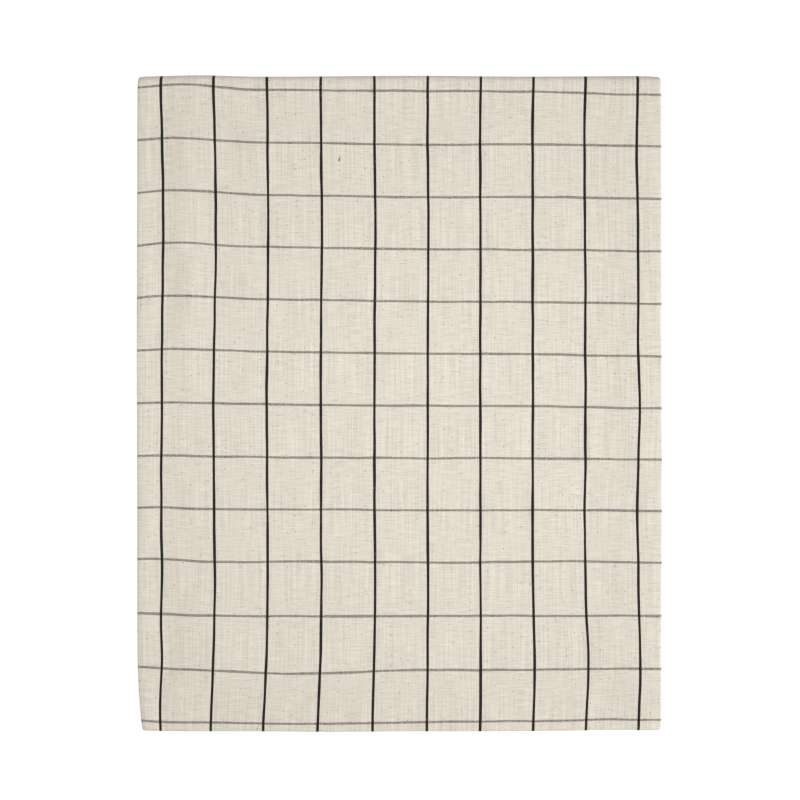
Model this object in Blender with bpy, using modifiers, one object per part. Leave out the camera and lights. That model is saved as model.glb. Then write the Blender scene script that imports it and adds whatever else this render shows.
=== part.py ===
"""Checked linen tablecloth, folded in thirds across and again in thirds along, lying flat.

One sheet makes all nine layers. Each section is a letter fold: a tucked flap, a near turn,
the face, a far turn and an under flap. The fold across is made first, and its three layers
are then carried round the fold along.

Metres, +Z up. The origin is on the surface below the middle of the cloth, and +Y points to
the upper edge of the face as it is looked at from above.
"""

from collections import namedtuple
from math import copysign, cos, exp, pi, radians, sin

import bmesh
import bpy

# Cloth
SHEET = 0.0010  # thickness of the cloth
PITCH = 0.0014  # from the middle of one layer to the middle of the next
FACE_WIDTH = 0.467  # folded size across, from turn to turn
FACE_LENGTH = 0.585  # folded size along, from turn to turn
LINEN = (0.686, 0.631, 0.546, 1.0)
LINEN_ROUGHNESS = 0.92

# Heights of the layers, counted in pitches from the lowest one
LAYERS = 9
STACK = (LAYERS - 1) * PITCH

# Free ends of the flaps: each stops short of the turn, this share of its last step along
FREE_END = 0.45

# Lie of the stack: the lower layers are drawn in a little, in waves along each side
DRAW_IN = 0.0016
DRAW_SWING = 0.5
DRAW_REACH = 0.030
DRAW_WAVES = 2.6
DRAW_START = {"left": 0.4, "right": 2.1, "front": 3.3, "back": 5.0}

# Corners, softened in plan
CORNER_PULL = 0.0011
CORNER_REACH = 0.012

# Columns and rows of the mesh
PANEL_COLUMNS = 14
PANEL_ROWS = 12
TURN_COLUMNS = (4, 4)
TURN_ROWS = (6, 6)

# A letter fold across or along. Heights are of the line that the layers are carried outside of.
Fold = namedtuple("Fold", "span tucked face under carried")
ACROSS = Fold(FACE_WIDTH, tucked=PITCH, face=2 * PITCH, under=0.0, carried=0.0)
ALONG = Fold(FACE_LENGTH, tucked=5 * PITCH, face=6 * PITCH, under=2 * PITCH, carried=2 * PITCH)

# A point of a section: its place along the fold, its height and the way its outside faces
Spot = namedtuple("Spot", "run height facing")
UPWARD = pi / 2
DOWNWARD = -pi / 2

# Thick rolls where the layers turn: how far the crest is set in, its width and its rise
Roll = namedtuple("Roll", "side set_in width rise")
ROLLS = (
    Roll("left", set_in=0.005, width=0.011, rise=0.0014),
    Roll("right", set_in=0.008, width=0.034, rise=0.0024),
    Roll("front", set_in=0.017, width=0.020, rise=0.0022),
    Roll("back", set_in=0.006, width=0.014, rise=0.0010),
)

# Soft ridges on the face: the middle, the way the crest runs, its half width and half length
Ridge = namedtuple("Ridge", "x y heading across along rise")
RIDGES = (
    Ridge(x=-0.189, y=0.130, heading=radians(90), across=0.015, along=0.150, rise=0.0016),
    Ridge(x=-0.178, y=-0.200, heading=radians(70), across=0.028, along=0.080, rise=0.0009),
    Ridge(x=0.015, y=-0.262, heading=radians(0), across=0.026, along=0.110, rise=0.0007),
    Ridge(x=0.185, y=-0.225, heading=radians(-48), across=0.032, along=0.060, rise=0.0008),
    Ridge(x=0.130, y=0.266, heading=radians(-4), across=0.022, along=0.080, rise=0.0005),
)

# Places where an edge stands in, or out where the depth is below zero
Dent = namedtuple("Dent", "side at reach depth")
DENTS = (
    Dent("left", at=-0.300, reach=0.045, depth=0.0040),
    Dent("left", at=0.050, reach=0.090, depth=-0.0004),
    Dent("right", at=-0.060, reach=0.080, depth=-0.0005),
    Dent("back", at=-0.175, reach=0.030, depth=-0.0010),
    Dent("back", at=0.040, reach=0.060, depth=-0.0004),
    Dent("front", at=-0.060, reach=0.050, depth=-0.0008),
    Dent("front", at=0.195, reach=0.036, depth=0.0010),
)
DENT_REACH = 0.060  # how far in from the edge a dent still draws the cloth


def graded(share):
    """Return a share from 0 to 1 with its steps crowded towards both ends.

    It is the mean of the smooth steps of the third and of the fifth degree.
    """
    gentle = share * share * (3 - 2 * share)
    steep = share**3 * (share * (6 * share - 15) + 10)
    return (gentle + steep) / 2


def flat(runs, height, facing):
    """Return the spots of a flat panel over the given places."""
    return [Spot(run, height, facing) for run in runs]


def turn(centre_run, centre_height, radius, facing, steps):
    """Return the spots of a half turn clockwise, without its two ends."""
    angles = [facing - pi * step / steps for step in range(1, steps)]
    return [
        Spot(centre_run + radius * cos(angle), centre_height + radius * sin(angle), angle)
        for angle in angles
    ]


def section(fold, panel_steps, turn_steps):
    """Return the spots of a letter fold, from the tucked end to the under end.

    All three panels have their spots over the same places, so that they keep their distance.
    """
    near_radius = (fold.face - fold.tucked) / 2
    far_radius = (fold.face - fold.under) / 2
    outside = fold.carried + SHEET / 2
    near = -fold.span / 2 + near_radius + outside
    far = fold.span / 2 - far_radius - outside
    face = [near + (far - near) * graded(step / panel_steps) for step in range(panel_steps + 1)]
    tucked = face[::-1]
    tucked[0] = tucked[1] + (tucked[0] - tucked[1]) * FREE_END
    under = face[::-1]
    under[-1] = under[-2] + (under[-1] - under[-2]) * FREE_END
    return (
        flat(tucked, fold.tucked, DOWNWARD)
        + turn(near, fold.tucked + near_radius, near_radius, DOWNWARD, turn_steps[0])
        + flat(face, fold.face, UPWARD)
        + turn(far, fold.under + far_radius, far_radius, UPWARD, turn_steps[1])
        + flat(under, fold.under, DOWNWARD)
    )


def edge_distance(side, x, y):
    """Return the distance of a point from one side of the folded face, inwards."""
    return {
        "left": FACE_WIDTH / 2 + x,
        "right": FACE_WIDTH / 2 - x,
        "front": FACE_LENGTH / 2 + y,
        "back": FACE_LENGTH / 2 - y,
    }[side]


def bell(distance, width):
    """Return 1 at no distance, falling smoothly to 0 past the width."""
    return exp(-((distance / width) ** 2))


def ridge_height(ridge, x, y):
    """Return the height of a ridge at a point."""
    off_x = x - ridge.x
    off_y = y - ridge.y
    along = off_x * cos(ridge.heading) + off_y * sin(ridge.heading)
    across = off_y * cos(ridge.heading) - off_x * sin(ridge.heading)
    return ridge.rise * bell(across, ridge.across) * bell(along, ridge.along)


def lift(x, y):
    """Return how far the top layer stands above the pressed stack."""
    rolls = sum(
        roll.rise * bell(edge_distance(roll.side, x, y) - roll.set_in, roll.width)
        for roll in ROLLS
    )
    ridges = sum(ridge_height(ridge, x, y) for ridge in RIDGES)
    return rolls + ridges


def plan_shift(x, y, depth):
    """Return how far the outline, the corners and the lie of the stack move a point."""
    shift = {}
    for side, start in DRAW_START.items():
        along = y if side in ("left", "right") else x
        gap = edge_distance(side, x, y)
        wave = 1 + DRAW_SWING * sin(2 * pi * DRAW_WAVES * along / FACE_LENGTH + start)
        drawn = DRAW_IN * wave * depth * exp(-gap / DRAW_REACH)
        dents = sum(
            dent.depth * bell(along - dent.at, dent.reach) for dent in DENTS if dent.side == side
        )
        shift[side] = drawn + dents * exp(-gap / DENT_REACH)
    side_gap = min(edge_distance("left", x, y), edge_distance("right", x, y))
    end_gap = min(edge_distance("front", x, y), edge_distance("back", x, y))
    corner = CORNER_PULL * exp(-(side_gap + end_gap) / CORNER_REACH)
    return (
        shift["left"] - shift["right"] - copysign(corner, x),
        shift["front"] - shift["back"] - copysign(corner, y),
    )


def lying(column, row):
    """Return where a point of the cloth lies, from its spot across and its spot along."""
    x = column.run
    y = row.run + column.height * cos(row.facing)
    height = row.height + column.height * sin(row.facing)
    shift_x, shift_y = plan_shift(x, y, 1 - height / STACK)
    return (
        x + shift_x,
        y + shift_y,
        SHEET / 2 + height * (1 + lift(x, y) / STACK),
    )


def linen():
    """Return the plain linen material."""
    material = bpy.data.materials.new("linen")
    material.use_nodes = True
    shader = material.node_tree.nodes["Principled BSDF"]
    shader.inputs["Base Color"].default_value = LINEN
    shader.inputs["Roughness"].default_value = LINEN_ROUGHNESS
    shader.inputs["Metallic"].default_value = 0.0
    return material


def cut_alike(sheet, columns, rows):
    """Cut each square of the grid along the diagonal that runs the same way seen from above.

    A panel that runs back across, or back along, has its squares mirrored. Cut alike, layers
    that lie on each other keep their distance over every ridge.
    """
    straight = []
    mirrored = []
    for face in sheet.faces:
        first_column, first_row = min(station(vert, columns, rows) for vert in face.verts)
        back_across = columns[first_column].facing < 0
        back_along = rows[first_row].facing < 0
        if back_across == back_along:
            straight.append(face)
        else:
            mirrored.append(face)
    bmesh.ops.triangulate(sheet, faces=straight, quad_method="FIXED")
    bmesh.ops.triangulate(sheet, faces=mirrored, quad_method="ALTERNATE")


def station(vert, columns, rows):
    """Return the column and the row of a point of the flat grid, which is one unit wide."""
    return (
        round((vert.co.x + 0.5) * (len(columns) - 1)),
        round((vert.co.y + 0.5) * (len(rows) - 1)),
    )


def folded_cloth(name):
    """Return the folded sheet: a flat grid laid on the two sections, then given its thickness."""
    columns = section(ACROSS, PANEL_COLUMNS, TURN_COLUMNS)
    rows = section(ALONG, PANEL_ROWS, TURN_ROWS)
    sheet = bmesh.new()
    bmesh.ops.create_grid(
        sheet, x_segments=len(columns) - 1, y_segments=len(rows) - 1, size=0.5
    )
    cut_alike(sheet, columns, rows)
    for vert in sheet.verts:
        column, row = station(vert, columns, rows)
        vert.co = lying(columns[column], rows[row])
    mesh = bpy.data.meshes.new(name)
    sheet.to_mesh(mesh)
    sheet.free()
    mesh.shade_smooth()
    mesh.materials.append(linen())
    cloth = bpy.data.objects.new(name, mesh)
    thickness = cloth.modifiers.new("thickness", "SOLIDIFY")
    thickness.thickness = SHEET
    thickness.offset = 0.0
    thickness.use_even_offset = True
    return cloth


def main():
    """Clear the scene and lay the folded cloth in its own collection."""
    for old in list(bpy.data.objects):
        bpy.data.objects.remove(old, do_unlink=True)
    collection = bpy.data.collections.new("tablecloth")
    bpy.context.scene.collection.children.link(collection)
    collection.objects.link(folded_cloth("tablecloth"))


if __name__ == "__main__":
    main()
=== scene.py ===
"""Checked linen tablecloth, folded in thirds across and again in thirds along, lying face up.

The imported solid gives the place, the size and the folds. Here a thin woven sheet lies on the
same folds and stands for it, with its finer creases, its check, its hems and their stitches.
Metres, +Z up, and +Y points to the upper edge of the face as it is looked at from above.
"""

import logging
from dataclasses import dataclass, field
from enum import Enum
from math import atan, cos, pi, radians, sin

import bpy
import numpy as np
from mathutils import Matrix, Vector, noise


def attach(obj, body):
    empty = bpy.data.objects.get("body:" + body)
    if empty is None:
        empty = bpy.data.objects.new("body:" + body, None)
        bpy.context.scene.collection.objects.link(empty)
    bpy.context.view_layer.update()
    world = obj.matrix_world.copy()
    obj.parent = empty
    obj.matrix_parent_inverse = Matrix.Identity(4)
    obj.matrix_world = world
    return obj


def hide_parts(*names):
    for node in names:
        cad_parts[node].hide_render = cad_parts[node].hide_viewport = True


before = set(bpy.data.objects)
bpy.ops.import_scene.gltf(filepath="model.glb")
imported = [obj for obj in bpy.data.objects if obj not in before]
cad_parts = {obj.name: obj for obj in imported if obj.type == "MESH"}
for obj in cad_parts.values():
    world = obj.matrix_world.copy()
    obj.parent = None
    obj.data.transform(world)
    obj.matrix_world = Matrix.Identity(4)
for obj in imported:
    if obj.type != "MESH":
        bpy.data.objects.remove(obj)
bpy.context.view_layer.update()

log = logging.getLogger("tablecloth")

Array = np.ndarray
Colour = tuple[float, float, float]

UPWARD = pi / 2
DOWNWARD = -pi / 2


def bell(distance: Array, width: float) -> Array:
    """Return 1 at no distance, falling smoothly to 0 past the width."""
    return np.exp(-((distance / width) ** 2))


def mm(value: float) -> float:
    """Return millimetres as metres."""
    return value / 1000


class Side(Enum):
    """A side of the folded face, as it is looked at from above."""

    LEFT = "left"
    RIGHT = "right"
    FRONT = "front"
    BACK = "back"


class Panel(Enum):
    """A part of a letter fold, in the order in which the sheet runs through it."""

    TUCKED = 0
    NEAR = 1
    FACE = 2
    FAR = 3
    UNDER = 4


# ---------------------------------------------------------------- how the cloth is folded


@dataclass(frozen=True)
class Section:
    """The line that a letter fold follows, one entry for each column or row of the mesh.

    The run is the place along the fold, the height is above the lowest layer, the facing is
    the way the outside looks, and cloth is the place on the flat sheet, 0 mid-face.
    """

    run: Array
    height: Array
    facing: Array
    cloth: Array
    panel: Array


@dataclass(frozen=True)
class LetterFold:
    """A letter fold across or along. Heights are of the line that layers are carried outside of."""

    span: float
    tucked: float
    face: float
    under: float
    carried: float
    face_steps: int
    every: int
    turn_steps: tuple[int, int]
    crowding: float = 0.45
    free_end: float = 0.0046

    def face_places(self, first: float, last: float) -> Array:
        """Return the places of the face's columns or rows, closer together near both turns.

        Args:
            first: Where the face leaves the near turn.
            last: Where the face meets the far turn.

        Returns:
            The places in order, both ends among them.
        """
        share = np.linspace(0, 1, self.face_steps + 1)
        share = share - self.crowding * np.sin(2 * pi * share) / (2 * pi)
        return first + (last - first) * share

    def flap_places(self, face: Array, free_at_first: bool, hem_lines: tuple) -> Array:
        """Return the places of a flap, from the higher one to the lower one.

        Args:
            face: The places of the face, some of which the flap shares.
            free_at_first: Whether the free end is the first place, and else the last.
            hem_lines: Distances from the free end at which the hem needs a line.

        Returns:
            The places in the order in which the sheet runs.
        """
        places = face[:: self.every][::-1].copy()
        if free_at_first:
            end = places[0] - self.free_end
            lines = end - np.array(hem_lines)
            kept = places[(places < end - 0.001)]
        else:
            end = places[-1] + self.free_end
            lines = end + np.array(hem_lines)
            kept = places[(places > end + 0.001)]
        apart = np.abs(kept[:, None] - lines[None, :]).min(axis=1) > 0.0008
        return np.sort(np.concatenate((kept[apart], lines, [end])))[::-1]

    def section(self, thickness: float, hem_lines: tuple) -> Section:
        """Return the whole line of the fold, from the tucked end to the under end.

        Args:
            thickness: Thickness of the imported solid's sheet.
            hem_lines: Distances from each free end at which the hem needs a line.

        Returns:
            The section.
        """
        near_radius = (self.face - self.tucked) / 2
        far_radius = (self.face - self.under) / 2
        outside = self.carried + thickness / 2
        near = -self.span / 2 + near_radius + outside
        far = self.span / 2 - far_radius - outside
        face = self.face_places(near, far)
        tucked = self.flap_places(face, True, hem_lines)
        under = self.flap_places(face, False, hem_lines)
        near_turn = self.half_turn(DOWNWARD, self.turn_steps[0])
        far_turn = self.half_turn(UPWARD, self.turn_steps[1])
        run = np.concatenate((
            tucked,
            near + near_radius * np.cos(near_turn),
            face,
            far + far_radius * np.cos(far_turn),
            under,
        ))
        height = np.concatenate((
            np.full(len(tucked), self.tucked),
            self.tucked + near_radius + near_radius * np.sin(near_turn),
            np.full(len(face), self.face),
            self.under + far_radius + far_radius * np.sin(far_turn),
            np.full(len(under), self.under),
        ))
        facing = np.concatenate((
            np.full(len(tucked), DOWNWARD),
            near_turn,
            np.full(len(face), UPWARD),
            far_turn,
            np.full(len(under), DOWNWARD),
        ))
        near_arc = (near_radius + self.carried) * (DOWNWARD - near_turn)
        near_length = pi * (near_radius + self.carried)
        far_arc = (far_radius + self.carried) * (UPWARD - far_turn)
        far_length = pi * (far_radius + self.carried)
        cloth = np.concatenate((
            near - near_length - (tucked - near),
            near - near_length + near_arc,
            face,
            far + far_arc,
            far + far_length + (far - under),
        ))
        counts = (len(tucked), len(near_turn), len(face), len(far_turn), len(under))
        panel = np.repeat([part.value for part in Panel], counts)
        return Section(run, height, facing, cloth, panel)

    @staticmethod
    def half_turn(facing: float, steps: int) -> Array:
        """Return the angles of a half turn clockwise from a facing, without its two ends."""
        return facing - pi * np.arange(1, steps) / steps


# ---------------------------------------------------------------- how the stack lies


@dataclass(frozen=True)
class Roll:
    """A thick roll along a folded edge: how far its crest is set in, its width and rise."""

    side: Side
    set_in: float
    width: float
    rise: float


@dataclass(frozen=True)
class Ridge:
    """A soft ridge on the face, or a trough where the rise is below zero.

    Sizes are in millimetres and the heading of the crest in degrees from the +X axis.
    """

    x: float
    y: float
    heading: float
    across: float
    along: float
    rise: float

    def height(self, x: Array, y: Array) -> Array:
        """Return the height that the ridge adds.

        Args:
            x: Places across.
            y: Places along.

        Returns:
            The heights.
        """
        turn = radians(self.heading)
        off_x = x - mm(self.x)
        off_y = y - mm(self.y)
        along = off_x * cos(turn) + off_y * sin(turn)
        across = off_y * cos(turn) - off_x * sin(turn)
        return mm(self.rise) * bell(across, mm(self.across)) * bell(along, mm(self.along))


@dataclass(frozen=True)
class Dent:
    """A place where an edge stands in, or out where the depth is below zero."""

    side: Side
    at: float
    reach: float
    depth: float


@dataclass(frozen=True)
class Pull:
    """A place where the weave is drawn off its straight grain. Sizes are in millimetres."""

    x: float
    y: float
    reach_x: float
    reach_y: float
    across: float = 0.0
    along: float = 0.0

    def share(self, x: Array, y: Array) -> Array:
        """Return how much of the pull is felt, from 0 to 1.

        Args:
            x: Places across.
            y: Places along.

        Returns:
            The shares.
        """
        return bell(x - mm(self.x), mm(self.reach_x)) * bell(y - mm(self.y), mm(self.reach_y))


@dataclass
class Lie:
    """How the pressed stack lies: its outline, rolls, creases and the drift of its weave."""

    width: float
    length: float
    rolls: tuple[Roll, ...] = (
        Roll(Side.LEFT, set_in=mm(5), width=mm(11), rise=mm(1.4)),
        Roll(Side.RIGHT, set_in=mm(8), width=mm(34), rise=mm(2.4)),
        Roll(Side.FRONT, set_in=mm(17), width=mm(20), rise=mm(2.2)),
        Roll(Side.BACK, set_in=mm(6), width=mm(14), rise=mm(1.0)),
    )
    ridges: tuple[Ridge, ...] = (
        Ridge(-189, 130, heading=90, across=15, along=150, rise=1.6),
        Ridge(-178, -200, heading=70, across=28, along=80, rise=0.9),
        Ridge(15, -262, heading=0, across=26, along=110, rise=0.7),
        Ridge(185, -225, heading=-48, across=32, along=60, rise=0.8),
        Ridge(130, 266, heading=-4, across=22, along=80, rise=0.5),
        Ridge(212, -120, heading=88, across=4, along=40, rise=-0.25),
        Ridge(214, 240, heading=93, across=6, along=45, rise=-0.30),
        Ridge(-206, -222, heading=82, across=6, along=40, rise=-0.40),
    )
    dents: tuple[Dent, ...] = (
        Dent(Side.LEFT, at=mm(-300), reach=mm(45), depth=mm(4.0)),
        Dent(Side.LEFT, at=mm(50), reach=mm(90), depth=mm(-0.4)),
        Dent(Side.RIGHT, at=mm(-60), reach=mm(80), depth=mm(-0.5)),
        Dent(Side.BACK, at=mm(-175), reach=mm(30), depth=mm(-1.0)),
        Dent(Side.BACK, at=mm(40), reach=mm(60), depth=mm(-0.4)),
        Dent(Side.FRONT, at=mm(-60), reach=mm(50), depth=mm(-0.8)),
        Dent(Side.FRONT, at=mm(195), reach=mm(36), depth=mm(1.0)),
    )
    pulls: tuple[Pull, ...] = (
        Pull(22, 0, 115, 900, across=1.6),
        Pull(-205, 150, 72, 90, across=2.0),
        Pull(-225, 5, 26, 65, across=1.2),
        Pull(-150, 5, 50, 70, across=-0.9),
        Pull(-190, -155, 60, 26, across=0.9),
        Pull(-218, -228, 28, 20, across=1.3),
        Pull(-150, -320, 130, 70, across=-5.4),
        Pull(165, -230, 72, 48, across=2.8),
        Pull(215, 225, 60, 55, across=-1.2),
        Pull(110, 300, 70, 30, across=0.8),
        Pull(214, 0, 45, 30, across=1.2),
        Pull(200, -95, 50, 28, across=-1.1),
        Pull(-160, 280, 70, 25, across=-0.8),
        Pull(-30, 145, 80, 60, across=0.9),
        Pull(-30, -170, 70, 45, across=0.7),
        Pull(0, 0, 900, 900, along=0.5),
        Pull(-200, 195, 42, 180, along=3.0),
        Pull(-215, 90, 75, 190, along=1.9),
        Pull(-120, 10, 80, 130, along=1.0),
        Pull(-245, 140, 25, 80, along=-2.0),
        Pull(-192, 285, 30, 28, along=1.4),
        Pull(240, 190, 90, 150, along=-3.6),
        Pull(230, 20, 90, 75, along=-1.8),
        Pull(222, 300, 75, 38, along=-3.0),
        Pull(110, 262, 90, 35, along=-0.8),
        Pull(20, 225, 90, 75, along=-1.7),
        Pull(70, 120, 100, 80, along=-1.3),
        Pull(-92, -243, 78, 33, along=-4.2),
        Pull(-120, -305, 90, 25, along=-1.2),
        Pull(80, -236, 70, 24, along=-1.0),
        Pull(150, -135, 80, 40, along=2.0),
        Pull(200, -295, 110, 24, along=2.0),
        Pull(-228, -135, 45, 65, along=3.4),
        Pull(-240, -240, 24, 55, along=2.0),
        Pull(-60, -130, 110, 45, along=1.6),
    )
    draw_in: float = mm(1.6)
    draw_swing: float = 0.5
    draw_reach: float = mm(30)
    draw_waves: float = 2.6
    draw_start: dict[Side, float] = field(
        default_factory=lambda: {
            Side.LEFT: 0.4,
            Side.RIGHT: 2.1,
            Side.FRONT: 3.3,
            Side.BACK: 5.0,
        }
    )
    dent_reach: float = mm(60)
    corner_pull: float = mm(1.1)
    corner_reach: float = mm(12)
    uneven_rise: float = mm(0.16)
    uneven_size: tuple[float, float] = (mm(17), mm(38))

    def gap(self, side: Side, x: Array, y: Array) -> Array:
        """Return the distance of points from one side of the folded face, inwards.

        Args:
            side: The side.
            x: Places across.
            y: Places along.

        Returns:
            The distances.
        """
        return {
            Side.LEFT: self.width / 2 + x,
            Side.RIGHT: self.width / 2 - x,
            Side.FRONT: self.length / 2 + y,
            Side.BACK: self.length / 2 - y,
        }[side]

    def unevenness(self, x: Array, y: Array) -> Array:
        """Return the small swells that pressing leaves in linen, longer along the warp.

        Args:
            x: Places across.
            y: Places along.

        Returns:
            Heights, above and below zero.
        """
        size_x, size_y = self.uneven_size
        places = np.stack((x / size_x, y / size_y), axis=-1).reshape(-1, 2)
        heights = [
            noise.noise((a, b, 3.7)) + 0.5 * noise.noise((2.3 * a, 2.3 * b, 8.1))
            for a, b in places
        ]
        return self.uneven_rise * np.array(heights).reshape(x.shape)

    def lift(self, x: Array, y: Array) -> Array:
        """Return how far the top layer stands above the pressed stack.

        Args:
            x: Places across.
            y: Places along.

        Returns:
            The heights.
        """
        height = self.unevenness(x, y)
        for roll in self.rolls:
            height = height + roll.rise * bell(self.gap(roll.side, x, y) - roll.set_in, roll.width)
        for ridge in self.ridges:
            height = height + ridge.height(x, y)
        return height

    def shift(self, x: Array, y: Array, depth: Array) -> tuple[Array, Array]:
        """Return how far the outline, the corners and the lie of the stack move points.

        Args:
            x: Places across.
            y: Places along.
            depth: Share of the stack that lies above each point.

        Returns:
            The moves across and along.
        """
        moves = {}
        for side, start in self.draw_start.items():
            along = y if side in (Side.LEFT, Side.RIGHT) else x
            gap = self.gap(side, x, y)
            wave = 1 + self.draw_swing * np.sin(
                2 * pi * self.draw_waves * along / self.length + start
            )
            drawn = self.draw_in * wave * depth * np.exp(-gap / self.draw_reach)
            dents = sum(
                dent.depth * bell(along - dent.at, dent.reach)
                for dent in self.dents
                if dent.side is side
            )
            moves[side] = drawn + dents * np.exp(-gap / self.dent_reach)
        side_gap = np.minimum(self.gap(Side.LEFT, x, y), self.gap(Side.RIGHT, x, y))
        end_gap = np.minimum(self.gap(Side.FRONT, x, y), self.gap(Side.BACK, x, y))
        corner = self.corner_pull * np.exp(-(side_gap + end_gap) / self.corner_reach)
        return (
            moves[Side.LEFT] - moves[Side.RIGHT] - np.copysign(corner, x),
            moves[Side.FRONT] - moves[Side.BACK] - np.copysign(corner, y),
        )

    def drift(self, x: Array, y: Array) -> tuple[Array, Array]:
        """Return how far the weave is drawn off its straight grain.

        Args:
            x: Places across.
            y: Places along.

        Returns:
            The drift across and along.
        """
        across = np.zeros_like(x)
        along = np.zeros_like(x)
        for pull in self.pulls:
            share = pull.share(x, y)
            across = across + mm(pull.across) * share
            along = along + mm(pull.along) * share
        return across, along


# ---------------------------------------------------------------- node trees


class NodeDesk:
    """Adds nodes to one tree and joins them."""

    def __init__(self, tree: bpy.types.NodeTree) -> None:
        """Take the tree to work on."""
        self.tree = tree

    def add(self, kind: str, **settings: object) -> bpy.types.Node:
        """Add a node and set its options.

        Args:
            kind: The node's type name.
            settings: Options by name.

        Returns:
            The node.
        """
        node = self.tree.nodes.new(kind)
        for name, value in settings.items():
            setattr(node, name, value)
        return node

    def join(self, value: object, socket: bpy.types.NodeSocket) -> None:
        """Link a socket to another one, or set its number or colour.

        Args:
            value: An output socket, or a plain value.
            socket: The input that takes it.
        """
        if isinstance(value, bpy.types.NodeSocket):
            self.tree.links.new(value, socket)
        else:
            socket.default_value = value

    def maths(self, operation: str, *terms: object, clamp: bool = False) -> bpy.types.NodeSocket:
        """Add a maths node.

        Args:
            operation: What it works out.
            terms: Its inputs, sockets or numbers.
            clamp: Whether the result is kept from 0 to 1.

        Returns:
            The result.
        """
        node = self.add("ShaderNodeMath", operation=operation, use_clamp=clamp)
        for term, socket in zip(terms, node.inputs):
            self.join(term, socket)
        return node.outputs[0]

    def ranged(
        self, value: object, low: float, high: float, first: object = 0.0, last: object = 1.0
    ) -> bpy.types.NodeSocket:
        """Map a value smoothly from one range to another.

        Args:
            value: The value.
            low: Where the range starts.
            high: Where it ends.
            first: The result at its start.
            last: The result at its end.

        Returns:
            The result.
        """
        node = self.add("ShaderNodeMapRange", interpolation_type="SMOOTHSTEP")
        for term, socket in zip((value, low, high, first, last), node.inputs):
            self.join(term, socket)
        return node.outputs[0]

    def place(self, x: object, y: object, z: object = 0.0) -> bpy.types.NodeSocket:
        """Join three numbers into a place.

        Args:
            x: The first number.
            y: The second number.
            z: The third number.

        Returns:
            The place.
        """
        node = self.add("ShaderNodeCombineXYZ")
        for term, socket in zip((x, y, z), node.inputs):
            self.join(term, socket)
        return node.outputs[0]

    def cloudy(self, place: bpy.types.NodeSocket, detail: float = 0.0) -> bpy.types.NodeSocket:
        """Return smooth noise of about unit size at a place, from 0 to 1.

        Args:
            place: The place.
            detail: How many finer layers it has.

        Returns:
            The noise.
        """
        node = self.add("ShaderNodeTexNoise", noise_dimensions="3D")
        self.join(place, node.inputs["Vector"])
        self.join(1.0, node.inputs["Scale"])
        self.join(detail, node.inputs["Detail"])
        return node.outputs["Fac"]

    def blend(
        self, share: object, first: object, second: object, way: str = "MIX"
    ) -> bpy.types.NodeSocket:
        """Mix two colours.

        Args:
            share: How much of the second one shows.
            first: The first colour.
            second: The second colour.
            way: How they are mixed.

        Returns:
            The mixed colour.
        """
        node = self.add("ShaderNodeMix", data_type="RGBA", blend_type=way)
        self.join(share, node.inputs[0])
        self.join(first, node.inputs[6])
        self.join(second, node.inputs[7])
        return node.outputs[2]


def opaque(colour: Colour) -> tuple[float, float, float, float]:
    """Return a colour with its opacity."""
    return (*colour, 1.0)


# ---------------------------------------------------------------- finishes


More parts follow.
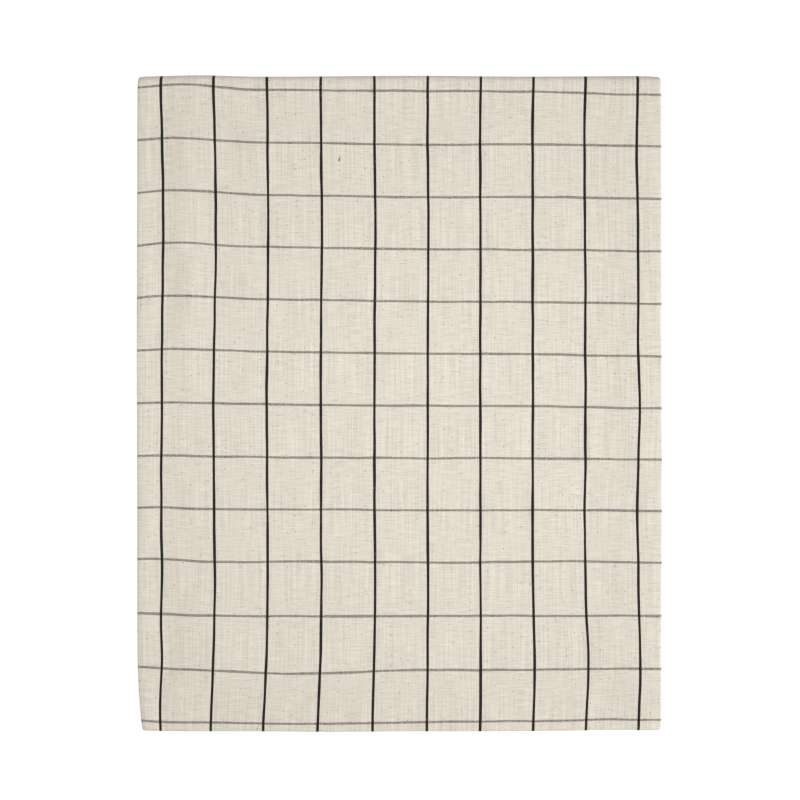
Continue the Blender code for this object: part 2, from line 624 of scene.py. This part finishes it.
@dataclass(frozen=True)
class LinenFinish:
    """Dry plain-weave linen with slubs, and a black check woven in thread by thread.

    The pattern is drawn on the map named in the field, in metres on the flat cloth.
    """

    name: str = "linen"
    map_name: str = "cloth"
    check_across: float = mm(47.1)
    check_along: float = mm(46.8)
    first_across: float = mm(-212.0)
    first_along: float = mm(278.4)
    warp_threads: int = 78
    weft_threads: int = 66
    dark_warps: int = 4
    dark_wefts: int = 3
    warp_colour: Colour = (0.735, 0.685, 0.600)
    weft_colour: Colour = (0.640, 0.585, 0.490)
    slub_colour: Colour = (0.400, 0.340, 0.260)
    black: Colour = (0.012, 0.010, 0.011)
    speck_colour: Colour = (0.200, 0.150, 0.105)
    husk_light: Colour = (0.520, 0.350, 0.130)
    husk_dark: Colour = (0.170, 0.110, 0.035)
    husk_place: tuple[float, float] = (mm(-54.4), mm(218.2))
    roughness: float = 0.88
    sheen: float = 0.12

    def threads(self, desk: NodeDesk) -> dict[str, bpy.types.NodeSocket]:
        """Work out which threads pass at a place and how they lie.

        Args:
            desk: The desk of the material's tree.

        Returns:
            Named sockets: the place, each yarn's number, the place in it, and its dark mask.
        """
        cloth_map = desk.add("ShaderNodeUVMap", uv_map=self.map_name)
        split = desk.add("ShaderNodeSeparateXYZ")
        desk.join(cloth_map.outputs[0], split.inputs[0])
        u, v = split.outputs[0], split.outputs[1]
        wander_u = desk.cloudy(
            desk.place(desk.maths("MULTIPLY", u, 260), desk.maths("MULTIPLY", v, 33), 1.5)
        )
        wander_v = desk.cloudy(
            desk.place(desk.maths("MULTIPLY", u, 38), desk.maths("MULTIPLY", v, 230), 6.5)
        )
        u = desk.maths("MULTIPLY_ADD", desk.maths("SUBTRACT", wander_u, 0.5), mm(0.9), u)
        v = desk.maths("MULTIPLY_ADD", desk.maths("SUBTRACT", wander_v, 0.5), mm(1.1), v)
        found = {"u": u, "v": v}
        for yarn, place, first, check, count, dark in (
            ("warp", u, self.first_across, self.check_across, self.warp_threads, self.dark_warps),
            ("weft", v, self.first_along, self.check_along, self.weft_threads, self.dark_wefts),
        ):
            from_edge = desk.maths("SUBTRACT", place, first - check * dark / count / 2)
            counted = desk.maths("MULTIPLY", from_edge, count / check)
            number = desk.maths("FLOOR", counted)
            found[yarn] = number
            found[yarn + " in"] = desk.maths("SUBTRACT", counted, number)
            in_check = desk.maths("FLOORED_MODULO", counted, float(count))
            edge = desk.maths("COMPARE", in_check, dark / 2, dark / 2)
            found[yarn + " dark"] = edge
        return found

    def build(self) -> bpy.types.Material:
        """Build the material.

        Returns:
            The material.
        """
        material = bpy.data.materials.new(self.name)
        material.use_nodes = True
        tree = material.node_tree
        desk = NodeDesk(tree)
        shader = tree.nodes["Principled BSDF"]
        found = self.threads(desk)
        u, v = found["u"], found["v"]
        warp, weft = found["warp"], found["weft"]
        in_warp, in_weft = found["warp in"], found["weft in"]
        dark_warp, dark_weft = found["warp dark"], found["weft dark"]

        # Which yarn lies on top: the two take turns, and the stouter one covers more
        turn = desk.maths("FLOORED_MODULO", desk.maths("ADD", warp, weft), 2.0)
        swing = desk.maths("MULTIPLY_ADD", turn, -2.0, 1.0)
        warp_rise = desk.maths(
            "MULTIPLY", swing, desk.maths("SINE", desk.maths("MULTIPLY", in_weft, pi))
        )
        weft_rise = desk.maths(
            "MULTIPLY", swing, desk.maths("SINE", desk.maths("MULTIPLY", in_warp, pi))
        )
        warp_round = desk.maths("SINE", desk.maths("MULTIPLY", in_warp, pi))
        weft_round = desk.maths("SINE", desk.maths("MULTIPLY", in_weft, pi))
        warp_height = desk.maths("ADD", warp_rise, warp_round)
        weft_height = desk.maths("SUBTRACT", weft_round, weft_rise)
        patchy = desk.cloudy(
            desk.place(desk.maths("MULTIPLY", u, 520), desk.maths("MULTIPLY", v, 650), 2.0), 1.0
        )
        patchy = desk.maths("MULTIPLY", desk.maths("SUBTRACT", patchy, 0.5), 3.2)
        lead = desk.maths("SUBTRACT", warp_height, weft_height)
        lead = desk.maths("ADD", lead, patchy)
        lead = desk.maths("MULTIPLY_ADD", dark_warp, 3.4, lead)
        lead = desk.maths("MULTIPLY_ADD", dark_weft, -0.9, lead)
        over = desk.ranged(lead, -0.35, 0.35)

        # Tone of each yarn, thread by thread and slowly changing along it
        warp_tone = desk.cloudy(
            desk.place(desk.maths("MULTIPLY", warp, 0.61), desk.maths("MULTIPLY", v, 16), 4.0),
            1.0,
        )
        weft_tone = desk.cloudy(
            desk.place(desk.maths("MULTIPLY", u, 60), desk.maths("MULTIPLY", weft, 0.83), 9.0),
            1.0,
        )
        warp_light = desk.ranged(warp_tone, 0.2, 0.8, 0.80, 1.12)
        weft_light = desk.ranged(weft_tone, 0.2, 0.8, 0.78, 1.14)
        warp_colour = desk.blend(
            1.0, opaque(self.warp_colour), desk.place(warp_light, warp_light, warp_light), "MULTIPLY"
        )
        weft_colour = desk.blend(
            1.0, opaque(self.weft_colour), desk.place(weft_light, weft_light, weft_light), "MULTIPLY"
        )
        slub = desk.cloudy(
            desk.place(desk.maths("MULTIPLY", u, 130), desk.maths("MULTIPLY", weft, 1.7), 12.0)
        )
        slub_share = desk.ranged(slub, 0.66, 0.80, 0.0, 0.75)
        weft_colour = desk.blend(slub_share, weft_colour, opaque(self.slub_colour))
        warp_colour = desk.blend(dark_warp, warp_colour, opaque(self.black))
        weft_colour = desk.blend(dark_weft, weft_colour, opaque(self.black))
        colour = desk.blend(over, weft_colour, warp_colour)

        # Painted shade: the colour is darkened where the threads dip, in the gaps between them,
        # standing in for the shade that falls there
        top = desk.maths("MAXIMUM", warp_height, weft_height)
        depth = desk.ranged(top, 0.3, 1.5, 0.80, 1.0)
        colour = desk.blend(1.0, colour, desk.place(depth, depth, depth), "MULTIPLY")

        # Specks of husk here and there, and one larger piece of it
        cells = desk.add("ShaderNodeTexVoronoi", voronoi_dimensions="2D")
        desk.join(desk.place(u, v), cells.inputs["Vector"])
        desk.join(130.0, cells.inputs["Scale"])
        near = desk.ranged(cells.outputs["Distance"], 0.045, 0.10, 1.0, 0.0)
        chance = desk.add("ShaderNodeSeparateXYZ")
        desk.join(cells.outputs["Color"], chance.inputs[0])
        chosen = desk.maths("GREATER_THAN", chance.outputs[0], 0.80)
        speck = desk.maths("MULTIPLY", desk.maths("MULTIPLY", near, chosen), 0.6)
        colour = desk.blend(speck, colour, opaque(self.speck_colour))
        colour = self.with_husk(desk, colour, u, v)
        desk.join(colour, shader.inputs["Base Color"])

        height = desk.maths("MULTIPLY_ADD", patchy, 0.25, top)
        bump = desk.add("ShaderNodeBump")
        desk.join(0.35, bump.inputs["Strength"])
        desk.join(mm(0.06), bump.inputs["Distance"])
        desk.join(height, bump.inputs["Height"])
        desk.join(bump.outputs[0], shader.inputs["Normal"])
        desk.join(self.roughness, shader.inputs["Roughness"])
        desk.join(0.25, shader.inputs["Specular IOR Level"])
        desk.join(self.sheen, shader.inputs["Sheen Weight"])
        return material

    def with_husk(
        self,
        desk: NodeDesk,
        colour: bpy.types.NodeSocket,
        u: bpy.types.NodeSocket,
        v: bpy.types.NodeSocket,
    ) -> bpy.types.NodeSocket:
        """Lay one piece of seed husk in the weave, pale at its tip and brown at its root.

        Args:
            desk: The desk of the material's tree.
            colour: The colour so far.
            u: Place across on the flat cloth.
            v: Place along on the flat cloth.

        Returns:
            The colour with the husk on it.
        """
        off_u = desk.maths("SUBTRACT", u, self.husk_place[0])
        off_v = desk.maths("SUBTRACT", v, self.husk_place[1])
        leaning = desk.maths("MULTIPLY_ADD", off_v, -0.18, off_u)
        narrow = desk.ranged(off_v, mm(-2.5), mm(3.0), 1.0, 1.9)
        wide = desk.maths("MULTIPLY", desk.maths("DIVIDE", leaning, mm(1.25)), narrow)
        long = desk.maths("DIVIDE", off_v, mm(2.9))
        away = desk.maths(
            "SQRT",
            desk.maths("ADD", desk.maths("MULTIPLY", wide, wide), desk.maths("MULTIPLY", long, long)),
        )
        share = desk.ranged(away, 0.75, 1.15, 0.95, 0.0)
        shade = desk.ranged(off_v, mm(-1.6), mm(1.4))
        husk = desk.blend(shade, opaque(self.husk_dark), opaque(self.husk_light))
        return desk.blend(share, colour, husk)


@dataclass(frozen=True)
class ThreadFinish:
    """Sewing thread of the hems, twisted and a little paler than the cloth, with painted shade in the
    grooves of its twist.
    """

    name: str = "sewing_thread"
    colour: Colour = (0.730, 0.680, 0.590)
    # painted shade: the darker colour given to the grooves of the twist
    shade: Colour = (0.560, 0.510, 0.430)
    twist: float = 2600.0
    roughness: float = 0.7

    def build(self) -> bpy.types.Material:
        """Build the material.

        Returns:
            The material.
        """
        material = bpy.data.materials.new(self.name)
        material.use_nodes = True
        desk = NodeDesk(material.node_tree)
        shader = material.node_tree.nodes["Principled BSDF"]
        where = desk.add("ShaderNodeTexCoord")
        split = desk.add("ShaderNodeSeparateXYZ")
        desk.join(where.outputs["Object"], split.inputs[0])
        slant = desk.maths("ADD", split.outputs[0], split.outputs[1])
        ply = desk.maths("SINE", desk.maths("MULTIPLY", slant, self.twist))
        # Painted shade: the colour runs to the darker shade colour in the grooves of the twist, where
        # the bump sinks
        share = desk.ranged(ply, -1.0, 1.0)
        colour = desk.blend(share, opaque(self.shade), opaque(self.colour))
        desk.join(colour, shader.inputs["Base Color"])
        bump = desk.add("ShaderNodeBump")
        desk.join(0.4, bump.inputs["Strength"])
        desk.join(mm(0.05), bump.inputs["Distance"])
        desk.join(ply, bump.inputs["Height"])
        desk.join(bump.outputs[0], shader.inputs["Normal"])
        desk.join(self.roughness, shader.inputs["Roughness"])
        return material


@dataclass(frozen=True)
class FloorFinish:
    """Matt white studio floor that glows a little, so that it stays pale all over."""

    name: str = "studio_floor"
    colour: Colour = (0.42, 0.42, 0.42)
    glow: float = 0.80

    def build(self) -> bpy.types.Material:
        """Build the material.

        Returns:
            The material.
        """
        material = bpy.data.materials.new(self.name)
        material.use_nodes = True
        shader = material.node_tree.nodes["Principled BSDF"]
        shader.inputs["Base Color"].default_value = opaque(self.colour)
        shader.inputs["Roughness"].default_value = 1.0
        shader.inputs["Specular IOR Level"].default_value = 0.0
        shader.inputs["Emission Color"].default_value = opaque((1.0, 1.0, 1.0))
        shader.inputs["Emission Strength"].default_value = self.glow
        return material


# ---------------------------------------------------------------- the cloth


@dataclass(frozen=True)
class Chart:
    """A rectangle of the bake map, and the columns and rows of the outside that it holds."""

    columns: tuple[Panel, Panel]
    rows: tuple[Panel, Panel]
    left: float
    bottom: float
    right: float
    top: float


@dataclass
class FoldedSheet:
    """The cloth: one thin woven sheet in nine layers, with a turned hem on its four sides."""

    name: str
    lie: Lie
    across: LetterFold
    along: LetterFold
    stack: float
    solid_thickness: float
    finish: LinenFinish = LinenFinish()
    thickness: float = mm(0.55)
    hem_width: float = mm(15)
    hem_extra: float = mm(0.45)
    hem_step: float = mm(0.9)
    stitch_line: float = mm(13.2)
    charts: tuple[Chart, ...] = (
        Chart((Panel.NEAR, Panel.FAR), (Panel.NEAR, Panel.FAR), 0.004, 0.120, 0.700, 0.996),
        Chart((Panel.NEAR, Panel.FAR), (Panel.UNDER, Panel.UNDER), 0.708, 0.630, 0.996, 0.996),
        Chart((Panel.NEAR, Panel.FAR), (Panel.TUCKED, Panel.TUCKED), 0.708, 0.420, 0.996, 0.622),
        Chart((Panel.TUCKED, Panel.TUCKED), (Panel.TUCKED, Panel.UNDER), 0.708, 0.270, 0.996, 0.412),
        Chart((Panel.UNDER, Panel.UNDER), (Panel.TUCKED, Panel.UNDER), 0.708, 0.120, 0.996, 0.262),
    )
    inner_box: tuple[float, float, float, float] = (0.004, 0.012, 0.996, 0.112)
    rim_box: tuple[float, float, float, float] = (0.004, 0.002, 0.996, 0.008)

    def hem_lines(self) -> tuple[float, ...]:
        """Return the distances from a free end at which the hem needs a line of its own."""
        return (mm(0.5), self.stitch_line, self.hem_width, self.hem_width + self.hem_step)

    def sections(self) -> tuple[Section, Section]:
        """Return the section across and the section along."""
        lines = self.hem_lines()
        return (
            self.across.section(self.solid_thickness, lines),
            self.along.section(self.solid_thickness, lines),
        )

    def surface(self, across: Section, along: Section) -> tuple[Array, Array]:
        """Lay the middle of the sheet on the two sections.

        Args:
            across: The section across.
            along: The section along.

        Returns:
            The points, row by row, and the directions that the outside faces.
        """
        carry = along.facing[:, None]
        x = np.repeat(across.run[None, :], len(along.run), axis=0)
        y = along.run[:, None] + across.height[None, :] * np.cos(carry)
        height = along.height[:, None] + across.height[None, :] * np.sin(carry)
        shift_x, shift_y = self.lie.shift(x, y, 1 - height / self.stack)
        z = self.thickness / 2 + height * (1 + self.lie.lift(x, y) / self.stack)
        points = np.stack((x + shift_x, y + shift_y, z), axis=-1)
        facing = np.cross(np.gradient(points, axis=1), np.gradient(points, axis=0))
        facing /= np.linalg.norm(facing, axis=-1, keepdims=True)
        return points, facing

    def hem_share(self, across: Section, along: Section) -> Array:
        """Return 1 where the cloth is doubled by its hem and 0 elsewhere, point by point.

        Args:
            across: The section across.
            along: The section along.

        Returns:
            The shares.
        """
        shares = []
        for section in (across, along):
            from_end = np.minimum(
                section.cloth - section.cloth[0], section.cloth[-1] - section.cloth
            )
            share = (self.hem_width + self.hem_step - from_end) / self.hem_step
            shares.append(np.clip(share, 0, 1))
        return np.maximum(shares[0][None, :], shares[1][:, None])

    @staticmethod
    def border(rows: int, columns: int) -> tuple[Array, Array]:
        """Return the rows and columns of the sheet's edge, once round.

        Args:
            rows: How many rows the grid has.
            columns: How many columns it has.

        Returns:
            The rows and the columns in order.
        """
        up, right = np.arange(rows - 1), np.arange(columns - 1)
        row = np.concatenate((right * 0, up, right * 0 + rows - 1, rows - 1 - up))
        column = np.concatenate((right, up * 0 + columns - 1, columns - 1 - right, up * 0))
        return row, column

    def chart_places(self, across: Section, along: Section, box: tuple, spans: tuple) -> tuple:
        """Return where columns and rows lie in a rectangle of the bake map.

        Args:
            across: The section across.
            along: The section along.
            box: The rectangle: left, bottom, right and top.
            spans: First and last column, and first and last row.

        Returns:
            The places of all columns and of all rows.
        """
        left, bottom, right, top = box
        first_column, last_column, first_row, last_row = spans
        u, v = across.cloth, along.cloth
        column = left + (u - u[first_column]) * (right - left) / (u[last_column] - u[first_column])
        row = bottom + (v - v[first_row]) * (top - bottom) / (v[last_row] - v[first_row])
        return column, row

    def bake_map(self, across: Section, along: Section) -> Array:
        """Lay out the outside of the sheet for baking, the face largest.

        Args:
            across: The section across.
            along: The section along.

        Returns:
            Four corner places for each face of the outside, row by row.
        """
        rows, columns = len(along.cloth) - 1, len(across.cloth) - 1
        corners = np.zeros((rows, columns, 4, 2))
        for chart in self.charts:
            spans = []
            for section, (first, last) in ((across, chart.columns), (along, chart.rows)):
                held = np.flatnonzero(
                    (section.panel >= first.value) & (section.panel <= last.value)
                )
                start = max(held[0] - 1, 0) if first is Panel.NEAR else held[0]
                stop = held[-1] + 1 if last in (Panel.TUCKED, Panel.FAR) else held[-1]
                if last is Panel.TUCKED:
                    stop = held[-1]
                spans.extend((start, stop))
            box = (chart.left, chart.bottom, chart.right, chart.top)
            column, row = self.chart_places(across, along, box, tuple(spans))
            left, right, bottom, top = spans
            for corner, (down, aside) in enumerate(((0, 0), (0, 1), (1, 1), (1, 0))):
                corners[bottom:top, left:right, corner, 0] = column[None, left + aside : right + aside]
                corners[bottom:top, left:right, corner, 1] = row[bottom + down : top + down, None]
        return corners.reshape(-1, 4, 2)

    def build(self) -> bpy.types.Object:
        """Build the sheet as one closed mesh with its two maps.

        Returns:
            The cloth, in the scene.
        """
        across, along = self.sections()
        points, facing = self.surface(across, along)
        rows, columns = points.shape[:2]
        inner_depth = self.thickness / 2 + self.hem_extra * self.hem_share(across, along)
        outer = points + facing * self.thickness / 2
        inner = points - facing * inner_depth[..., None]
        edge_row, edge_column = self.border(rows, columns)
        middle = (outer + inner)[edge_row, edge_column] / 2
        before = points[np.clip(edge_row, 1, rows - 2), np.clip(edge_column, 1, columns - 2)]
        outwards = points[edge_row, edge_column] - before
        outwards /= np.linalg.norm(outwards, axis=-1, keepdims=True)
        rim = middle + outwards * (self.thickness + self.hem_extra) * 0.42

        index = np.arange(rows * columns).reshape(rows, columns)
        quads = np.stack((index[:-1, :-1], index[:-1, 1:], index[1:, 1:], index[1:, :-1]), axis=-1)
        quads = quads.reshape(-1, 4)
        inside = rows * columns
        a = index[edge_row, edge_column]
        b = np.roll(a, -1)
        ring = 2 * inside + np.arange(len(a))
        next_ring = np.roll(ring, -1)
        faces = np.concatenate((
            quads,
            quads[:, ::-1] + inside,
            np.stack((b, a, ring, next_ring), axis=-1),
            np.stack((next_ring, ring, a + inside, b + inside), axis=-1),
        ))
        vertices = np.concatenate((outer.reshape(-1, 3), inner.reshape(-1, 3), rim))
        mesh = bpy.data.meshes.new(self.name)
        mesh.from_pydata(vertices.tolist(), [], faces.tolist())
        mesh.shade_smooth()

        drift_u, drift_v = self.lie.drift(points[..., 0], points[..., 1])
        flat_u = across.cloth[None, :] - drift_u
        flat_v = along.cloth[:, None] - drift_v
        flat = np.stack((flat_u, flat_v), axis=-1).reshape(-1, 2)
        flat = np.concatenate((flat, flat, flat[a]))
        self.add_map(mesh, self.finish.map_name, flat[faces.reshape(-1)])
        self.add_map(mesh, "OFBake", self.bake_places(across, along, quads, len(a)))
        mesh.materials.append(self.finish.build())
        cloth = bpy.data.objects.new(self.name, mesh)
        bpy.context.scene.collection.objects.link(cloth)
        return cloth

    def bake_places(self, across: Section, along: Section, quads: Array, border: int) -> Array:
        """Return the bake map's corner places for all faces of the closed mesh.

        Args:
            across: The section across.
            along: The section along.
            quads: The faces of the outside, by their points.
            border: How many points the edge has.

        Returns:
            One place for each corner of each face.
        """
        outside = self.bake_map(across, along)
        spans = (0, len(across.cloth) - 1, 0, len(along.cloth) - 1)
        column, row = self.chart_places(across, along, self.inner_box, spans)
        grid = np.stack(np.meshgrid(column, row), axis=-1).reshape(-1, 2)
        inside = grid[quads[:, ::-1]]
        left, bottom, right, top = self.rim_box
        start = left + (right - left) * np.arange(border) / border
        stop = start + (right - left) / border
        middle = (bottom + top) / 2
        strips = []
        for low, high in ((bottom, middle), (middle, top)):
            strip = np.zeros((border, 4, 2))
            strip[:, 0] = np.stack((stop, np.full(border, low)), axis=-1)
            strip[:, 1] = np.stack((start, np.full(border, low)), axis=-1)
            strip[:, 2] = np.stack((start, np.full(border, high)), axis=-1)
            strip[:, 3] = np.stack((stop, np.full(border, high)), axis=-1)
            strips.append(strip)
        return np.concatenate((outside, inside, *strips)).reshape(-1, 2)

    @staticmethod
    def add_map(mesh: bpy.types.Mesh, name: str, places: Array) -> None:
        """Add a map to a mesh.

        Args:
            mesh: The mesh.
            name: The map's name.
            places: One place for each corner of each face.
        """
        layer = mesh.uv_layers.new(name=name)
        layer.data.foreach_set("uv", places.astype(np.float32).ravel())


# ---------------------------------------------------------------- hem stitches


@dataclass
class HemStitches:
    """Straight machine stitches that hold the four hems, on both faces of the cloth."""

    name: str
    cloth: FoldedSheet
    finish: ThreadFinish = ThreadFinish()
    pitch: float = mm(3.6)
    length: float = mm(2.7)
    width: float = mm(0.5)
    height: float = mm(0.34)
    proud: float = mm(0.02)

    def lines(self) -> tuple[list[Array], list[Array]]:
        """Return the stitch lines and the way each of their points faces.

        Returns:
            The lines and the facings, each a list of arrays.
        """
        across, along = self.cloth.sections()
        points, facing = self.cloth.surface(across, along)
        outer = self.cloth.thickness / 2 + self.proud
        inner = self.cloth.thickness / 2 + self.cloth.hem_extra + self.proud
        first, last = self.stitch_index(across)
        low, high = self.stitch_index(along)
        lines, facings = [], []
        for pick in (
            (slice(low, high + 1), first),
            (slice(low, high + 1), last),
            (low, slice(first, last + 1)),
            (high, slice(first, last + 1)),
        ):
            for way, depth in ((1, outer), (-1, inner)):
                lines.append(points[pick] + way * depth * facing[pick])
                facings.append(way * facing[pick])
        return lines, facings

    def stitch_index(self, section: Section) -> tuple[int, int]:
        """Return the columns or rows nearest to the two stitch lines of a section."""
        from_first = np.abs(section.cloth - section.cloth[0] - self.cloth.stitch_line)
        from_last = np.abs(section.cloth[-1] - section.cloth - self.cloth.stitch_line)
        return int(from_first.argmin()), int(from_last.argmin())

    def path(self) -> bpy.types.Mesh:
        """Return the stitch lines as a mesh of edges that knows which way it faces.

        Returns:
            The mesh.
        """
        lines, facings = self.lines()
        edges = []
        start = 0
        for line in lines:
            edges.extend((start + k, start + k + 1) for k in range(len(line) - 1))
            start += len(line)
        mesh = bpy.data.meshes.new(self.name + "_lines")
        mesh.from_pydata(np.concatenate(lines).tolist(), edges, [])
        facing = mesh.attributes.new("facing", "FLOAT_VECTOR", "POINT")
        facing.data.foreach_set("vector", np.concatenate(facings).astype(np.float32).ravel())
        return mesh

    def tree(self, material: bpy.types.Material) -> bpy.types.NodeTree:
        """Build the node tree that sets stitches along lines.

        Args:
            material: The material of the thread.

        Returns:
            The tree.
        """
        tree = bpy.data.node_groups.new("hem_stitch_row", "GeometryNodeTree")
        desk = NodeDesk(tree)
        face = tree.interface
        face.new_socket("Lines", in_out="INPUT", socket_type="NodeSocketGeometry")
        for name in ("Pitch", "Length", "Width", "Height"):
            face.new_socket(name, in_out="INPUT", socket_type="NodeSocketFloat")
        face.new_socket("Seed", in_out="INPUT", socket_type="NodeSocketInt")
        face.new_socket("Stitches", in_out="OUTPUT", socket_type="NodeSocketGeometry")
        entry = desk.add("NodeGroupInput")
        end = desk.add("NodeGroupOutput")

        to_curve = desk.add("GeometryNodeMeshToCurve")
        desk.join(entry.outputs["Lines"], to_curve.inputs["Mesh"])
        resample = desk.add("GeometryNodeResampleCurve", mode="LENGTH")
        desk.join(to_curve.outputs["Curve"], resample.inputs["Curve"])
        desk.join(entry.outputs["Pitch"], resample.inputs["Length"])

        one_stitch = desk.add("GeometryNodeMeshUVSphere")
        desk.join(6, one_stitch.inputs["Segments"])
        desk.join(4, one_stitch.inputs["Rings"])
        desk.join(0.5, one_stitch.inputs["Radius"])
        smooth = desk.add("GeometryNodeSetShadeSmooth")
        desk.join(one_stitch.outputs["Mesh"], smooth.inputs[0])
        size = desk.add("ShaderNodeCombineXYZ")
        for name, socket in zip(("Length", "Width", "Height"), size.inputs):
            desk.join(entry.outputs[name], socket)

        facing = desk.add("GeometryNodeInputNamedAttribute", data_type="FLOAT_VECTOR")
        facing.inputs["Name"].default_value = "facing"
        tangent = desk.add("GeometryNodeInputTangent")
        stand = desk.add("FunctionNodeAlignRotationToVector", axis="Z")
        desk.join(facing.outputs["Attribute"], stand.inputs["Vector"])
        point = desk.add("FunctionNodeAlignRotationToVector", axis="X", pivot_axis="Z")
        desk.join(stand.outputs[0], point.inputs["Rotation"])
        desk.join(tangent.outputs[0], point.inputs["Vector"])

        slack = desk.add("FunctionNodeRandomValue", data_type="FLOAT")
        desk.join(0.90, slack.inputs[2])
        desk.join(1.08, slack.inputs[3])
        desk.join(entry.outputs["Seed"], slack.inputs["Seed"])
        scaled = desk.add("ShaderNodeVectorMath", operation="SCALE")
        desk.join(size.outputs[0], scaled.inputs[0])
        desk.join(slack.outputs[1], scaled.inputs["Scale"])

        spread = desk.add("GeometryNodeInstanceOnPoints")
        desk.join(resample.outputs["Curve"], spread.inputs["Points"])
        desk.join(smooth.outputs[0], spread.inputs["Instance"])
        desk.join(point.outputs[0], spread.inputs["Rotation"])
        desk.join(scaled.outputs[0], spread.inputs["Scale"])
        real = desk.add("GeometryNodeRealizeInstances")
        desk.join(spread.outputs[0], real.inputs[0])
        dress = desk.add("GeometryNodeSetMaterial")
        desk.join(real.outputs[0], dress.inputs["Geometry"])
        dress.inputs["Material"].default_value = material
        desk.join(dress.outputs[0], end.inputs["Stitches"])
        return tree

    def build(self) -> bpy.types.Object:
        """Build the stitches as one plain mesh.

        Returns:
            The stitches, in the scene.
        """
        material = self.finish.build()
        maker = bpy.data.objects.new(self.name + "_maker", self.path())
        bpy.context.scene.collection.objects.link(maker)
        modifier = maker.modifiers.new("stitches", "NODES")
        modifier.node_group = self.tree(material)
        sizes = {
            "Pitch": self.pitch,
            "Length": self.length,
            "Width": self.width,
            "Height": self.height,
            "Seed": 7,
        }
        for item in modifier.node_group.interface.items_tree:
            if item.in_out == "INPUT" and item.name in sizes:
                modifier[item.identifier] = sizes[item.name]
        graph = bpy.context.evaluated_depsgraph_get()
        mesh = bpy.data.meshes.new_from_object(maker.evaluated_get(graph))
        bpy.data.objects.remove(maker)
        mesh.name = self.name
        if not mesh.materials:
            mesh.materials.append(material)
        stitches = bpy.data.objects.new(self.name, mesh)
        bpy.context.scene.collection.objects.link(stitches)
        return stitches


# ---------------------------------------------------------------- studio


@dataclass(frozen=True)
class Lamp:
    """A soft square lamp: where it stands, what it looks at, its side and its power."""

    name: str
    place: tuple[float, float, float]
    aim: tuple[float, float, float]
    side: float
    power: float

    def build(self) -> bpy.types.Object:
        """Build the lamp.

        Returns:
            The lamp, in the scene.
        """
        data = bpy.data.lights.new(self.name, "AREA")
        data.shape = "SQUARE"
        data.size = self.side
        data.energy = self.power
        lamp = bpy.data.objects.new(self.name, data)
        lamp.location = self.place
        way = Vector(self.aim) - Vector(self.place)
        lamp.rotation_euler = way.to_track_quat("-Z", "Y").to_euler()
        lamp.visible_camera = False
        bpy.context.scene.collection.objects.link(lamp)
        return lamp


@dataclass
class Studio:
    """Pale floor, soft lamps and a camera that looks straight down."""

    floor_side: float = 12.0
    camera_height: float = 2.0
    camera_place: tuple[float, float] = (mm(0.45), mm(3.13))
    field_of_view: float = 0.7157
    ambient: float = 0.42
    finish: FloorFinish = FloorFinish()
    lamps: tuple[Lamp, ...] = (
        Lamp("overhead", place=(-0.05, 0.05, 0.85), aim=(-0.02, 0.02, 0.0), side=0.30, power=3.4),
        Lamp("key", place=(2.4, -0.8, 1.35), aim=(0.0, 0.0, 0.0), side=0.70, power=62.0),
    )

    def floor(self) -> bpy.types.Object:
        """Build the floor.

        Returns:
            The floor, in the scene.
        """
        half = self.floor_side / 2
        corners = [(-half, -half, 0), (half, -half, 0), (half, half, 0), (-half, half, 0)]
        mesh = bpy.data.meshes.new("studio_floor")
        mesh.from_pydata(corners, [], [(0, 1, 2, 3)])
        mesh.materials.append(self.finish.build())
        floor = bpy.data.objects.new("studio_floor", mesh)
        bpy.context.scene.collection.objects.link(floor)
        return floor

    def camera(self) -> bpy.types.Object:
        """Build the camera and make it the scene's own.

        Returns:
            The camera.
        """
        data = bpy.data.cameras.new("overhead_view")
        data.sensor_width = 36.0
        data.angle = 2 * atan(self.field_of_view / 2 / self.camera_height)
        camera = bpy.data.objects.new("overhead_view", data)
        camera.location = (*self.camera_place, self.camera_height)
        bpy.context.scene.collection.objects.link(camera)
        bpy.context.scene.camera = camera
        return camera

    def build(self) -> None:
        """Set up the whole studio."""
        scene = bpy.context.scene
        world = bpy.data.worlds.new("studio")
        world.use_nodes = True
        background = world.node_tree.nodes["Background"]
        background.inputs["Color"].default_value = opaque((1.0, 1.0, 1.0))
        background.inputs["Strength"].default_value = self.ambient
        scene.world = world
        scene.view_settings.view_transform = "Standard"
        self.floor()
        for lamp in self.lamps:
            lamp.build()
        self.camera()


# ---------------------------------------------------------------- the whole


def main() -> None:
    """Build the cloth, its stitches and the studio, and report each piece."""
    logging.basicConfig(level=logging.INFO, format="%(name)s: %(message)s")
    pitch = mm(1.4)
    lie = Lie(width=mm(467), length=mm(585))
    across = LetterFold(
        lie.width, tucked=pitch, face=2 * pitch, under=0.0, carried=0.0,
        face_steps=120, every=5, turn_steps=(8, 8),
    )
    along = LetterFold(
        lie.length, tucked=5 * pitch, face=6 * pitch, under=2 * pitch, carried=2 * pitch,
        face_steps=150, every=6, turn_steps=(10, 12),
    )
    sheet = FoldedSheet("tablecloth_linen", lie, across, along, 8 * pitch, mm(1.0))
    cloth = sheet.build()
    log.info("%s: %d faces", cloth.name, len(cloth.data.polygons))
    seam = HemStitches("hem_stitches", sheet)
    stitches = seam.build()
    log.info("%s: %d faces", stitches.name, len(stitches.data.polygons))
    for piece in (cloth, stitches):
        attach(piece, "root")
    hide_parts("tablecloth")
    Studio().build()
    log.info("studio: floor, %d lamps and camera", len(Studio().lamps))


if __name__ == "__main__":
    main()
